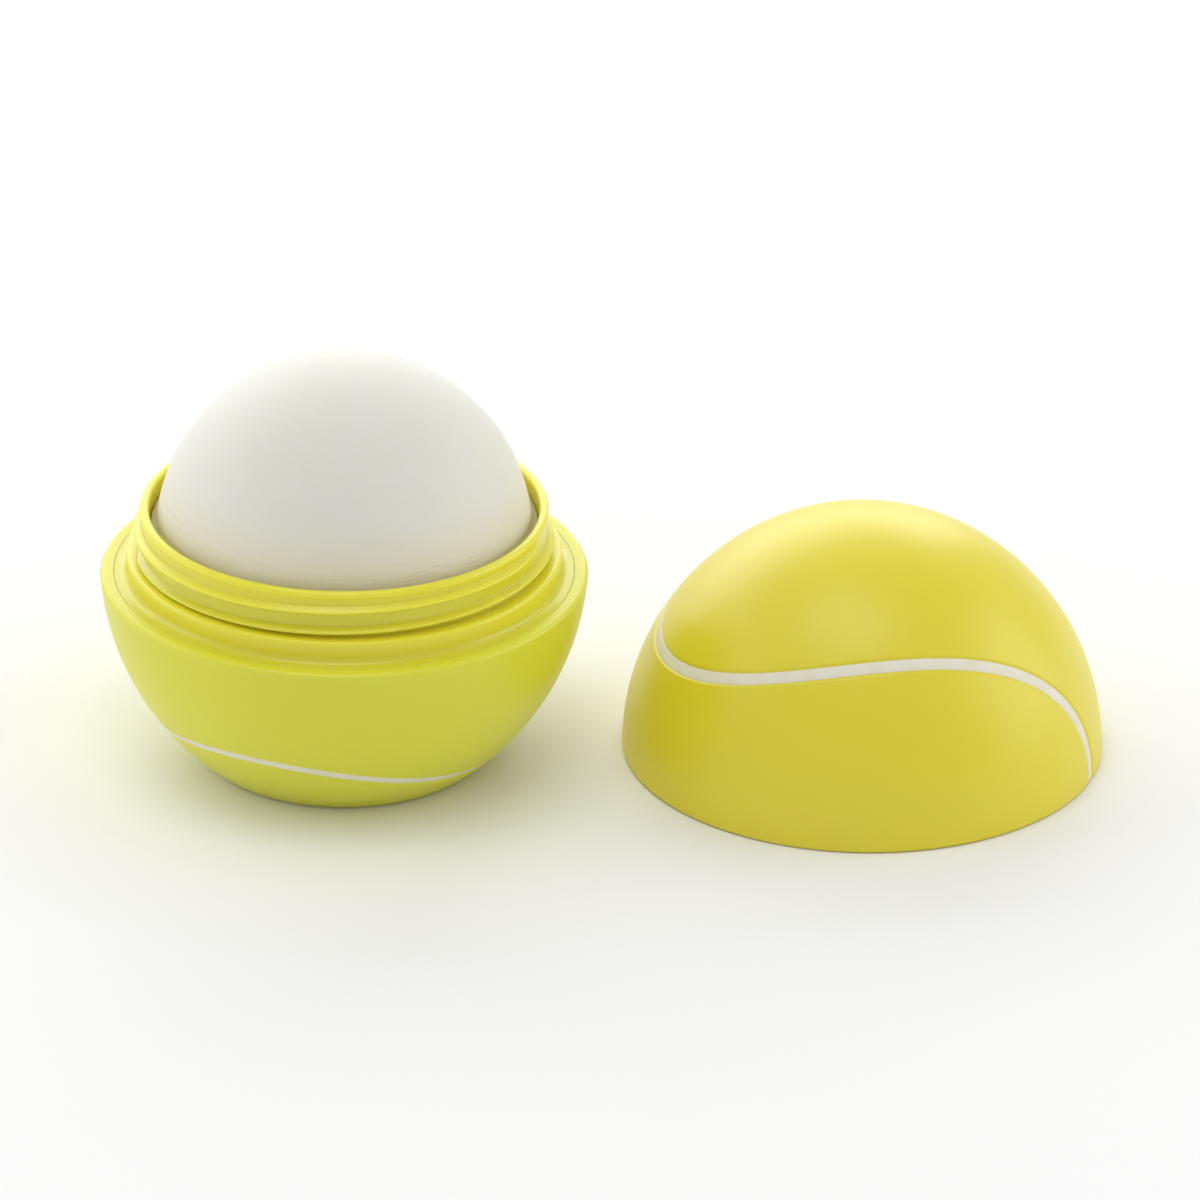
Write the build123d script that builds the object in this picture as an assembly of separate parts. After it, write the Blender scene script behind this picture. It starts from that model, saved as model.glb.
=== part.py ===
"""Tennis-ball lip balm holder, open: the base with its balm, and the screw cap standing beside it.

Millimetres, +Z up. The origin is the centre of the base's flat foot, on the surface that both
halves stand on, and the cap stands on its rim at +X. Each sub-part has its own function, and
main() writes one STEP file per sub-part.
"""
import os
from dataclasses import dataclass
from math import acos, asin, cos, hypot, pi, radians, sin, sqrt

from build123d import *

# Overall shape. The halves meet at the parting line, and each outline is one arc, whose centre
# lies past the axis by its inset and above the parting line by its rise.
base_rim_radius = 20.5
parting_height = 16.65
base_arc_inset = 2.36
base_arc_rise = 1.35
cap_reveal = 0.17          # how far the cap's rim is set in from the base's rim
cap_arc_inset = 0.62
cap_gap = 2.99             # between the base's rim and the rim of the cap that stands beside it

# Lower shell
base_wall = 2.0
base_floor = 1.6
rim_land = 1.15            # ring of the shell that shows round the flange
rim_round = 0.45
foot_round = 1.0
label_radius = 8.3
label_thickness = 0.15     # also the depth of its recess, so it lies flush with the foot
label_gap = 0.2

# Threaded cup: flange, collar, neck and the well for the balm
joint_gap = 0.06           # between the flange's edge and the shell
flange_thickness = 1.2
flange_width = 1.0         # from the collar out to the joint
collar_height = 1.9
collar_step = 0.65         # from the collar's face in to the thread's crest
collar_round = 0.3
neck_height = 5.85         # above the parting line
neck_wall = 0.7            # from the thread's root in to the bore
lip_round = 0.3
well_step = 0.75           # ledge under the balm's shoulder
well_depth = 6.0           # below the parting line
shoulder_depth = 1.0       # the ledge, below the parting line
cup_wall = 0.9
cup_clearance = 0.6        # from the well's foot out to the lower shell

# Thread, right-hand, on the neck and inside the cap
thread_pitch = 1.85
thread_depth = 0.6
thread_turns = 1.5
thread_start_angle = 168.4
thread_start_height = 2.1  # crest height above the parting line where the thread begins
thread_foot_width = 1.15
thread_crest_width = 0.45
thread_sink = 0.12         # how far a ridge is let into the wall that carries it
thread_clearance = 0.25    # each way, between the neck's thread and the cap's

# Balm and the anchor that it is cast round
balm_gap = 0.4             # from the balm out to the neck's bore
dome_centre_height = 2.75  # above the parting line
anchor_gap = 0.6           # from the anchor's rim out to the well
anchor_rise = 2.2          # from the well's floor to the anchor's disc
anchor_thickness = 1.0
anchor_leg_radius = 1.1
anchor_leg_count = 3
anchor_hole_radius = 1.9
anchor_hole_count = 6
anchor_stem_height = 4.0
anchor_head_radius = 2.4
anchor_head_height = 0.8

# Cap
cap_wall = 0.9
cap_rim_round = 0.3
liner_gap = 0.05
liner_wall = 0.7
liner_lift = 0.2           # from the collar's top to the liner's lower edge when closed
liner_thread_margin = 0.5  # straight bore above the neck's highest thread crest

# Ball seam: a groove with a painted line in its floor
seam_waist = 0.243         # 0 is a plain circle, larger values pinch the two lobes
seam_width = 1.2
seam_depth = 0.3
seam_paint = 0.15
seam_steps = 36            # spline points along each half
seam_overrun = 4.0         # degrees of the curve past the parting line
base_seam_turn = 62.9
cap_seam_turn = 10.4

outline_steps = 12         # spline points along each half's outline
cut_margin = 1.0           # extra length of a cutting solid past what it cuts


@dataclass(frozen=True)
class Meridian:
    """Outline of one half: a circular arc in the plane of the axis."""

    rim: float
    inset: float
    parting: float
    rise: float

    @property
    def radius(self):
        """Radius of the arc itself."""
        return hypot(self.rim + self.inset, self.rise)

    @property
    def centre_height(self):
        """Height of the arc's centre."""
        return self.parting + self.rise

    def radius_at(self, height, depth=0.0):
        """Radius of the half at a height, a given depth under its surface."""
        return sqrt((self.radius - depth) ** 2 - (height - self.centre_height) ** 2) - self.inset

    def outline(self, depth, bottom, top=None):
        """Spline along the arc, a given depth under it, between two heights or up to the axis."""
        radius = self.radius - depth
        low = asin((bottom - self.centre_height) / radius)
        high = acos(self.inset / radius) if top is None else asin((top - self.centre_height) / radius)
        angles = [low + (high - low) * index / outline_steps for index in range(outline_steps + 1)]
        points = [(radius * cos(a) - self.inset, radius * sin(a) + self.centre_height) for a in angles]
        end = (-1, 0) if top is None else (-sin(high), cos(high))
        return Spline(*points, tangents=[(-sin(low), cos(low)), end])

    def on_ray(self, direction, depth):
        """Point a depth under the surface, on a ray from the centre of the parting plane."""
        level = hypot(direction.X, direction.Y)
        away = level * self.inset - direction.Z * self.rise
        room = (self.radius - depth) ** 2 - self.inset ** 2 - self.rise ** 2
        reach = sqrt(away ** 2 + room) - away
        return Vector(0, 0, self.parting) + direction * reach


base_arc = Meridian(base_rim_radius, base_arc_inset, parting_height, base_arc_rise)
cap_arc = Meridian(base_rim_radius - cap_reveal, cap_arc_inset, 0.0, 0.0)

# Radii worked inwards from the shell's rim
flange_radius = base_rim_radius - rim_land - joint_gap
collar_radius = flange_radius - flange_width
crest_radius = collar_radius - collar_step
root_radius = crest_radius - thread_depth
bore_radius = root_radius - neck_wall
balm_radius = bore_radius - balm_gap
well_radius = bore_radius - well_step

# Heights worked from the parting line
ledge_height = parting_height - flange_thickness
well_floor = parting_height - well_depth
cup_foot = well_floor - cup_wall
well_foot_radius = base_arc.radius_at(cup_foot, base_wall) - cup_clearance - cup_wall
thread_top_height = thread_start_height + thread_turns * thread_pitch
liner_bore_radius = crest_radius + thread_clearance
liner_foot = collar_height + liner_lift


def turned(points):
    """Solid of revolution whose half-section has the given straight-sided outline."""
    return revolve(Plane.XZ * make_face(Polyline(*points, close=True)), axis=Axis.Z)


def arc_solid(arc, depth, bottom, top=None):
    """Solid under a half's outline, from one height to another or up to the axis."""
    side = arc.outline(depth, bottom, top)
    foot, head = side @ 0, side @ 1
    outline = [Line((0, bottom), foot), side, Line((0, head.Y), (0, bottom))]
    if top is not None:
        outline.append(Line(head, (0, top)))
    return revolve(Plane.XZ * make_face(outline), axis=Axis.Z)


def rod(radius, bottom, top):
    """Upright cylinder on the axis between two heights."""
    return Pos(0, 0, bottom) * Cylinder(radius, top - bottom, align=(Align.CENTER, Align.CENTER, Align.MIN))


def circles_at(solid, height):
    """Circular edges of a solid at one height, smallest first."""
    level = [edge for edge in solid.edges().filter_by(GeomType.CIRCLE) if abs(edge.center().Z - height) < 1e-4]
    return sorted(level, key=lambda edge: edge.radius)


def thread_ridge(wall_radius, depth, height):
    """Helical ridge on a wall, outwards, or inwards where depth is negative."""
    path = Helix(pitch=thread_pitch, height=thread_turns * thread_pitch, radius=wall_radius)
    side = 1 if depth > 0 else -1
    section = Plane(origin=path @ 0, x_dir=(1, 0, 0), z_dir=path % 0) * make_face(Polyline(
        (-side * thread_sink, -thread_foot_width / 2),
        (depth, -thread_crest_width / 2),
        (depth, thread_crest_width / 2),
        (-side * thread_sink, thread_foot_width / 2),
        close=True,
    ))
    ridge = sweep(section, path=path, is_frenet=True)
    return Pos(0, 0, height + thread_start_height) * Rot(0, 0, thread_start_angle) * ridge


def seam_direction(angle, turn):
    """Unit vector of the ball's closed seam, with the ball's lobe axes 45 degrees off the vertical."""
    wide, narrow = 1 - seam_waist, seam_waist
    first = wide * cos(angle) + narrow * cos(3 * angle)
    second = wide * sin(angle) - narrow * sin(3 * angle)
    side = 2 * sqrt(wide * narrow) * sin(2 * angle)
    front, up = (first + second) / sqrt(2), (first - second) / sqrt(2)
    return Vector(side, -front, up).normalized().rotate(Axis.Z, turn)


def seam_edges(arc, turn, start, shift, depths):
    """Splines beside the seam, shifted along the surface, one for each depth."""
    step = 1e-4
    first = radians(start - seam_overrun)
    span = pi + 2 * radians(seam_overrun)
    points = [[] for _ in depths]
    for index in range(seam_steps + 1):
        angle = first + span * index / seam_steps
        ahead = seam_direction(angle, turn)
        along = seam_direction(angle + step, turn) - seam_direction(angle - step, turn)
        across = along.cross(ahead).normalized()
        beside = (ahead + across * (shift / arc.rim)).normalized()
        for row, depth in zip(points, depths):
            row.append(arc.on_ray(beside, depth))
    return [Edge.make_spline(row) for row in points]


def seam_band(arc, turn, start, top_depth, bottom_depth):
    """Band that follows the seam over one half, between two depths under its surface."""
    left = seam_edges(arc, turn, start, seam_width / 2, (top_depth, bottom_depth))
    right = seam_edges(arc, turn, start, -seam_width / 2, (bottom_depth, top_depth))
    loop = left + right
    sides = [Face.make_surface_from_curves(loop[i], loop[(i + 1) % 4]) for i in range(4)]
    ends = [Face(Wire([Line(loop[i] @ end, loop[(i + 1) % 4] @ end) for i in range(4)])) for end in (0, 1)]
    return Solid(Shell(sides + ends))


def base_seam_band(top_depth, bottom_depth):
    """Seam band of the lower half."""
    return seam_band(base_arc, base_seam_turn, 45, top_depth, bottom_depth)


def cap_seam_band(top_depth, bottom_depth):
    """Seam band of the upper half."""
    return seam_band(cap_arc, cap_seam_turn, -135, top_depth, bottom_depth)


def make_base_shell():
    """Lower shell: a bowl with a flat foot, a label recess and a rabbet that seats the flange."""
    shell = arc_solid(base_arc, 0.0, 0.0, parting_height)
    shell -= arc_solid(base_arc, base_wall, base_floor, parting_height)
    shell -= rod(base_rim_radius - rim_land, ledge_height, parting_height + cut_margin)
    shell = fillet(circles_at(shell, parting_height)[-1:], rim_round)
    shell = fillet(circles_at(shell, 0.0)[-1:], foot_round)
    shell -= rod(label_radius + label_gap, -cut_margin, label_thickness)
    return shell - base_seam_band(-cut_margin, seam_depth)


def make_base_label():
    """Blank round label, flush in the foot's recess."""
    return rod(label_radius, 0.0, label_thickness)


def make_base_seam_line():
    """Painted line in the floor of the lower half's groove."""
    line = base_seam_band(seam_depth - seam_paint, seam_depth)
    return line & arc_solid(base_arc, 0.0, 0.0, parting_height - rim_round)


def make_threaded_cup():
    """Inner cup: flange, collar and threaded neck above, the balm's well below."""
    cup = turned([
        (0, cup_foot),
        (well_foot_radius + cup_wall, cup_foot),
        (bore_radius + cup_wall, ledge_height),
        (flange_radius, ledge_height),
        (flange_radius, parting_height),
        (collar_radius, parting_height),
        (collar_radius, parting_height + collar_height),
        (root_radius, parting_height + collar_height),
        (root_radius, parting_height + neck_height),
        (0, parting_height + neck_height),
    ])
    cup = fillet(circles_at(cup, parting_height + collar_height)[-1:], collar_round)
    cup -= rod(bore_radius, parting_height - shoulder_depth, parting_height + neck_height + cut_margin)
    cup = fillet(circles_at(cup, parting_height + neck_height), lip_round)
    cup += thread_ridge(root_radius, thread_depth, parting_height)
    return cup - well_solid()


def well_solid():
    """Room for the balm under the shoulder: a cup that narrows to its floor."""
    return turned([
        (0, well_floor),
        (well_foot_radius, well_floor),
        (well_radius, parting_height - shoulder_depth),
        (0, parting_height - shoulder_depth),
    ])


def make_balm_anchor():
    """Perforated disc on legs in the well, with a headed stem that the balm grips."""
    disc_bottom = well_floor + anchor_rise
    disc_top = disc_bottom + anchor_thickness
    disc_radius = well_foot_radius - anchor_gap
    leg_circle = disc_radius - 2 * anchor_leg_radius
    hole_circle = (anchor_head_radius + disc_radius) / 2
    anchor = rod(disc_radius, disc_bottom, disc_top)
    for place in PolarLocations(hole_circle, anchor_hole_count):
        anchor -= place * rod(anchor_hole_radius, disc_bottom - cut_margin, disc_top + cut_margin)
    leg_turn = 180 / anchor_hole_count
    for place in PolarLocations(leg_circle, anchor_leg_count, start_angle=leg_turn):
        anchor += place * rod(anchor_leg_radius, well_floor, disc_top)
    anchor += rod(anchor_leg_radius, disc_bottom, disc_top + anchor_stem_height)
    head_bottom = disc_top + anchor_stem_height - anchor_head_height
    return anchor + rod(anchor_head_radius, head_bottom, disc_top + anchor_stem_height)


def make_balm():
    """Balm: a dome over a short drum, a shoulder on the cup's ledge and a foot cast round the anchor."""
    dome_centre = parting_height + dome_centre_height
    dome = Pos(0, 0, dome_centre) * Sphere(balm_radius) & rod(balm_radius, dome_centre, dome_centre + balm_radius)
    drum = rod(balm_radius, parting_height - shoulder_depth, dome_centre)
    return dome + drum + well_solid() - make_balm_anchor()


def make_cap_shell():
    """Outer shell of the cap: a dome with an even wall and a seam groove."""
    shell = arc_solid(cap_arc, 0.0, 0.0) - arc_solid(cap_arc, cap_wall, -cut_margin)
    shell = fillet(circles_at(shell, 0.0), cap_rim_round)
    return shell - cap_seam_band(-cut_margin, seam_depth)


def make_cap_liner():
    """Inner cup of the cap: a dome that clears the balm, over a skirt with the female thread."""
    outside = cap_wall + liner_gap
    bore_top = thread_top_height + liner_thread_margin
    liner = arc_solid(cap_arc, outside, liner_foot)
    liner -= arc_solid(cap_arc, outside + liner_wall, bore_top)
    liner -= rod(liner_bore_radius, liner_foot - cut_margin, bore_top)
    ridge = thread_ridge(liner_bore_radius, -thread_depth, thread_clearance)
    return liner + (ridge & rod(cap_arc.rim, liner_foot, thread_top_height + thread_pitch))


def make_cap_seam_line():
    """Painted line in the floor of the cap's groove."""
    line = cap_seam_band(seam_depth - seam_paint, seam_depth)
    return line & arc_solid(cap_arc, 0.0, cap_rim_round)


def main():
    """Build every sub-part in its place and write it to parts/."""
    beside = Pos(base_arc.rim + cap_gap + cap_arc.rim, 0, 0)
    parts = {
        "base_shell": make_base_shell(),
        "base_label": make_base_label(),
        "base_seam_line": make_base_seam_line(),
        "threaded_cup": make_threaded_cup(),
        "balm_anchor": make_balm_anchor(),
        "balm": make_balm(),
        "cap_shell": beside * make_cap_shell(),
        "cap_liner": beside * make_cap_liner(),
        "cap_seam_line": beside * make_cap_seam_line(),
    }
    os.makedirs("parts", exist_ok=True)
    for name, solid in parts.items():
        export_step(solid, f"parts/{name}.step")


main()
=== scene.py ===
"""Tennis-ball lip balm holder, open: the base with its balm, and the screw cap standing beside it.

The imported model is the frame. Lengths named here are millimetres, and meshes are made in metres,
in the frame's own axes: +Z up, the base's foot at the origin, the cap at +X.
"""
import logging
import math
from collections.abc import Callable
from dataclasses import dataclass, field
from enum import Enum
from typing import Any

import bpy
import numpy as np
from mathutils import Matrix, Vector
from mathutils.kdtree import KDTree


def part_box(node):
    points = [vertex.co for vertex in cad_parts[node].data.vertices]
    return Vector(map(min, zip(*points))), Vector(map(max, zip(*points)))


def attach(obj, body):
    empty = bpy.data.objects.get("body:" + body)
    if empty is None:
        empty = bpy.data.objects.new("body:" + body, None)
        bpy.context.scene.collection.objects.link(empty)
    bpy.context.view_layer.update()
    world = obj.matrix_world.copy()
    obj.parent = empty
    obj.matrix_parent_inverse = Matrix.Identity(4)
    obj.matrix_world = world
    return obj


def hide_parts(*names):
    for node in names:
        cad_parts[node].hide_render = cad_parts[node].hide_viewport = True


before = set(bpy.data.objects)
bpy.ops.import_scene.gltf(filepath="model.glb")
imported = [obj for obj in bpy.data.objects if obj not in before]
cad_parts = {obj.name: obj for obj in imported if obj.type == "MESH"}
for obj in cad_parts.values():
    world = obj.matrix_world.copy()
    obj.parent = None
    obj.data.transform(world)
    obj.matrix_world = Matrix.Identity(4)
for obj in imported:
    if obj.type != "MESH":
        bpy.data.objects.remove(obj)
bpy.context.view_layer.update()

LOG = logging.getLogger("holder")
MM = 0.001

Outline = list[tuple[float, float]]


class Body(Enum):
    """Bodies of the frame that pieces ride on."""

    BASE = "base"
    CAP = "cap"


class Slot(Enum):
    """Material slots of the record."""

    SHELL = "yellow_shell"
    INNER = "yellow_inner"
    PAINT = "seam_paint"
    BALM = "balm_wax"
    ANCHOR = "anchor_plastic"
    LABEL = "label_film"


# ---------------------------------------------------------------- small helpers


def srgb(code: str) -> tuple[float, float, float, float]:
    """Turn an sRGB hex colour into linear RGBA.

    Args:
        code: Colour such as "#d8cf40".

    Returns:
        Linear red, green, blue and an alpha of 1.
    """
    parts = [int(code[i : i + 2], 16) / 255 for i in (1, 3, 5)]
    linear = [p / 12.92 if p <= 0.04045 else ((p + 0.055) / 1.055) ** 2.4 for p in parts]
    return (linear[0], linear[1], linear[2], 1.0)


def add_node(
    tree: bpy.types.NodeTree, kind: str, values: dict[str, Any] | None = None, **settings: Any
) -> bpy.types.Node:
    """Add a shader node, set it up and link it.

    Args:
        tree: Node tree that gets the node.
        kind: Node type, such as "ShaderNodeTexNoise".
        values: Input name or index to a number, a colour, or the output socket to link from.
        settings: Properties of the node itself.

    Returns:
        The new node.
    """
    node = tree.nodes.new(kind)
    for name, value in settings.items():
        setattr(node, name, value)
    for name, value in (values or {}).items():
        if isinstance(value, bpy.types.NodeSocket):
            tree.links.new(value, node.inputs[name])
        else:
            node.inputs[name].default_value = value
    return node


def smooth_step(values: np.ndarray) -> np.ndarray:
    """Ease values from 0 to 1, flat at both ends.

    Args:
        values: Numbers where 0 and below is the start and 1 and above the end.

    Returns:
        Eased numbers between 0 and 1.
    """
    clipped = np.clip(values, 0.0, 1.0)
    return clipped * clipped * (3 - 2 * clipped)


def deselect() -> None:
    """Leave edit mode and deselect every object."""
    if bpy.context.object and bpy.context.object.mode != "OBJECT":
        bpy.ops.object.mode_set(mode="OBJECT")
    bpy.ops.object.select_all(action="DESELECT")


def activate(piece: bpy.types.Object) -> None:
    """Select one object alone and make it active."""
    deselect()
    piece.select_set(True)
    bpy.context.view_layer.objects.active = piece


def coordinates(piece: bpy.types.Object) -> np.ndarray:
    """Read a mesh's vertices.

    Args:
        piece: Mesh object.

    Returns:
        One row per vertex, in millimetres.
    """
    flat = np.empty(len(piece.data.vertices) * 3)
    piece.data.vertices.foreach_get("co", flat)
    return flat.reshape(-1, 3) / MM


def place(piece: bpy.types.Object, points: np.ndarray) -> None:
    """Move a mesh's vertices.

    Args:
        piece: Mesh object.
        points: One row per vertex, in millimetres.
    """
    piece.data.vertices.foreach_set("co", (points * MM).ravel())
    piece.data.update()


def arc(centre: tuple[float, float], radius: float, start: float, end: float, steps: int) -> Outline:
    """List points along an arc.

    Args:
        centre: Centre as (radius, height), in millimetres.
        radius: Radius of the arc, in millimetres.
        start: First angle from the outward direction, in degrees.
        end: Last angle, in degrees.
        steps: Number of steps between them.

    Returns:
        Points as (radius, height), in millimetres.
    """
    angles = [math.radians(start + (end - start) * i / steps) for i in range(steps + 1)]
    return [(centre[0] + radius * math.cos(a), centre[1] + radius * math.sin(a)) for a in angles]


def run(start: tuple[float, float], end: tuple[float, float], step: float) -> Outline:
    """List evenly spaced points along a straight run.

    Args:
        start: First point as (radius, height), in millimetres.
        end: Last point.
        step: Longest spacing, in millimetres.

    Returns:
        Points from start to end.
    """
    count = max(1, math.ceil(math.dist(start, end) / step))
    return [tuple(a + (b - a) * i / count for a, b in zip(start, end)) for i in range(count + 1)]


def lathe(name: str, outline: Outline, steps: int, centre_x: float = 0.0) -> bpy.types.Object:
    """Spin an outline about an upright axis into a closed mesh.

    Args:
        name: Name of the new piece.
        outline: Points as (radius, height), in millimetres, from the axis round to the axis.
        steps: Number of steps round the axis.
        centre_x: Where the axis stands along X, in millimetres.

    Returns:
        The new object, at the origin with its place in its mesh.
    """
    deselect()
    bpy.ops.mesh.primitive_plane_add(size=MM, location=(0, 0, 0))
    piece = bpy.context.object
    piece.name = piece.data.name = name
    bpy.ops.object.mode_set(mode="EDIT")
    bpy.ops.mesh.select_mode(type="VERT")
    bpy.ops.mesh.select_all(action="SELECT")
    bpy.ops.mesh.merge(type="CENTER")
    bpy.ops.transform.translate(value=(outline[0][0] * MM, 0, outline[0][1] * MM))
    here = outline[0]
    for point in outline[1:]:
        if math.dist(point, here) < 1e-6:
            continue
        shift = ((point[0] - here[0]) * MM, 0, (point[1] - here[1]) * MM)
        bpy.ops.mesh.extrude_region_move(TRANSFORM_OT_translate={"value": shift})
        here = point
    bpy.ops.mesh.select_all(action="SELECT")
    bpy.ops.mesh.spin(steps=steps, angle=math.tau, center=(0, 0, 0), axis=(0, 0, 1))
    bpy.ops.mesh.select_all(action="SELECT")
    bpy.ops.mesh.remove_doubles(threshold=0.002 * MM)
    bpy.ops.mesh.normals_make_consistent(inside=False)
    bpy.ops.object.mode_set(mode="OBJECT")
    points = coordinates(piece)
    points[:, 0] += centre_x
    place(piece, points)
    return piece


def refine(
    piece: bpy.types.Object, nearness: Callable[[np.ndarray], np.ndarray], reaches: tuple[float, ...]
) -> None:
    """Subdivide the faces that lie near something, once for each reach.

    Args:
        piece: Mesh object.
        nearness: Gives each point's distance, in millimetres.
        reaches: Distances inside which faces are subdivided, one for each round.
    """
    activate(piece)
    for reach in reaches:
        bpy.ops.object.mode_set(mode="EDIT")
        bpy.ops.mesh.select_mode(type="FACE")
        bpy.ops.mesh.select_all(action="DESELECT")
        bpy.ops.object.mode_set(mode="OBJECT")
        centres = np.array([polygon.center for polygon in piece.data.polygons]) / MM
        piece.data.polygons.foreach_set("select", nearness(centres) < reach)
        bpy.ops.object.mode_set(mode="EDIT")
        bpy.ops.mesh.subdivide(number_cuts=1, smoothness=0)
        bpy.ops.object.mode_set(mode="OBJECT")


def shade(piece: bpy.types.Object, angle: float = 40.0) -> None:
    """Shade a piece smooth except across edges sharper than an angle in degrees."""
    activate(piece)
    bpy.ops.object.shade_smooth_by_angle(angle=math.radians(angle))


# ---------------------------------------------------------------- finishes


def start_material(
    name: str,
) -> tuple[bpy.types.Material, bpy.types.NodeTree, bpy.types.Node, bpy.types.NodeSocket]:
    """Start a material whose patterns sit still on the piece.

    Args:
        name: Name of the material.

    Returns:
        The material, its node tree, its shader and the piece's own coordinates.
    """
    made = bpy.data.materials.new(name)
    made.use_nodes = True
    tree = made.node_tree
    place_in = add_node(tree, "ShaderNodeTexCoord").outputs["Object"]
    return made, tree, tree.nodes["Principled BSDF"], place_in


@dataclass(frozen=True)
class MouldedPlastic:
    """Plastic, injection-moulded in a spark-textured mould: a satin skin with a faint fine grain.

    The mould's texture spreads each highlight into a soft patch, and light that travels a little way
    inside keeps the shaded sides warm.
    """

    name: str
    colour: str
    deep_colour: str
    roughness: float = 0.35
    grain: float = 0.16          # the real texture's 0.03 mm is too fine to show, so it is drawn coarser
    grain_height: float = 0.004  # depth of that texture, in mm
    flow: float = 9.0            # size of the soft patches left by the melt's flow, in mm
    glow: float = 0.15           # share of the light that travels inside the plastic
    depth: float = 1.2           # how far it travels, in mm

    def material(self) -> bpy.types.Material:
        """Build the shader.

        Returns:
            A new material.
        """
        made, tree, skin, place_in = start_material(self.name)
        patches = add_node(tree, "ShaderNodeTexNoise", {
            "Vector": place_in, "Scale": 1 / (self.flow * MM), "Detail": 2.0, "Roughness": 0.5,
        })
        tint = add_node(tree, "ShaderNodeMix", {
            "Factor": patches.outputs["Fac"], 6: srgb(self.deep_colour), 7: srgb(self.colour),
        }, data_type="RGBA")
        tree.links.new(tint.outputs[2], skin.inputs["Base Color"])
        grain = add_node(tree, "ShaderNodeTexNoise", {
            "Vector": place_in, "Scale": 1 / (self.grain * MM), "Detail": 2.0, "Roughness": 0.6,
        })
        polish = add_node(tree, "ShaderNodeMapRange", {
            "Value": patches.outputs["Fac"], 1: 0.3, 2: 0.7,
            3: self.roughness - 0.03, 4: self.roughness + 0.04,
        })
        tree.links.new(polish.outputs["Result"], skin.inputs["Roughness"])
        dimples = add_node(tree, "ShaderNodeBump", {
            "Height": grain.outputs["Fac"], "Strength": 0.5, "Distance": self.grain_height * MM,
        })
        tree.links.new(dimples.outputs["Normal"], skin.inputs["Normal"])
        skin.inputs["IOR"].default_value = 1.54   # ABS
        skin.inputs["Subsurface Weight"].default_value = self.glow
        skin.inputs["Subsurface Radius"].default_value = (1.0, 0.85, 0.2)
        skin.inputs["Subsurface Scale"].default_value = self.depth * MM
        return made


@dataclass(frozen=True)
class PadPaint:
    """White pad-printing ink laid in a groove: flat, slightly chalky, thinner here and there."""

    name: str
    colour: str
    thin_colour: str
    roughness: float = 0.55
    blotch: float = 1.6          # size of the ink's thin patches, in mm
    tooth: float = 0.09          # the ink's 0.02 mm pigment is too fine to show, so it is drawn coarser
    tooth_height: float = 0.004

    def material(self) -> bpy.types.Material:
        """Build the shader.

        Returns:
            A new material.
        """
        made, tree, skin, place_in = start_material(self.name)
        blotches = add_node(tree, "ShaderNodeTexNoise", {
            "Vector": place_in, "Scale": 1 / (self.blotch * MM), "Detail": 3.0, "Roughness": 0.6,
        })
        spread = add_node(tree, "ShaderNodeMapRange", {"Value": blotches.outputs["Fac"], 1: 0.35, 2: 0.7})
        tint = add_node(tree, "ShaderNodeMix", {
            "Factor": spread.outputs["Result"], 6: srgb(self.colour), 7: srgb(self.thin_colour),
        }, data_type="RGBA")
        tree.links.new(tint.outputs[2], skin.inputs["Base Color"])
        tooth = add_node(tree, "ShaderNodeTexNoise", {
            "Vector": place_in, "Scale": 1 / (self.tooth * MM), "Detail": 2.0,
        })
        relief = add_node(tree, "ShaderNodeBump", {
            "Height": tooth.outputs["Fac"], "Strength": 0.6, "Distance": self.tooth_height * MM,
        })
        tree.links.new(relief.outputs["Normal"], skin.inputs["Normal"])
        chalk = add_node(tree, "ShaderNodeMapRange", {
            "Value": blotches.outputs["Fac"], 3: self.roughness - 0.06, 4: self.roughness + 0.08,
        })
        tree.links.new(chalk.outputs["Result"], skin.inputs["Roughness"])
        skin.inputs["IOR"].default_value = 1.48
        return made


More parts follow.
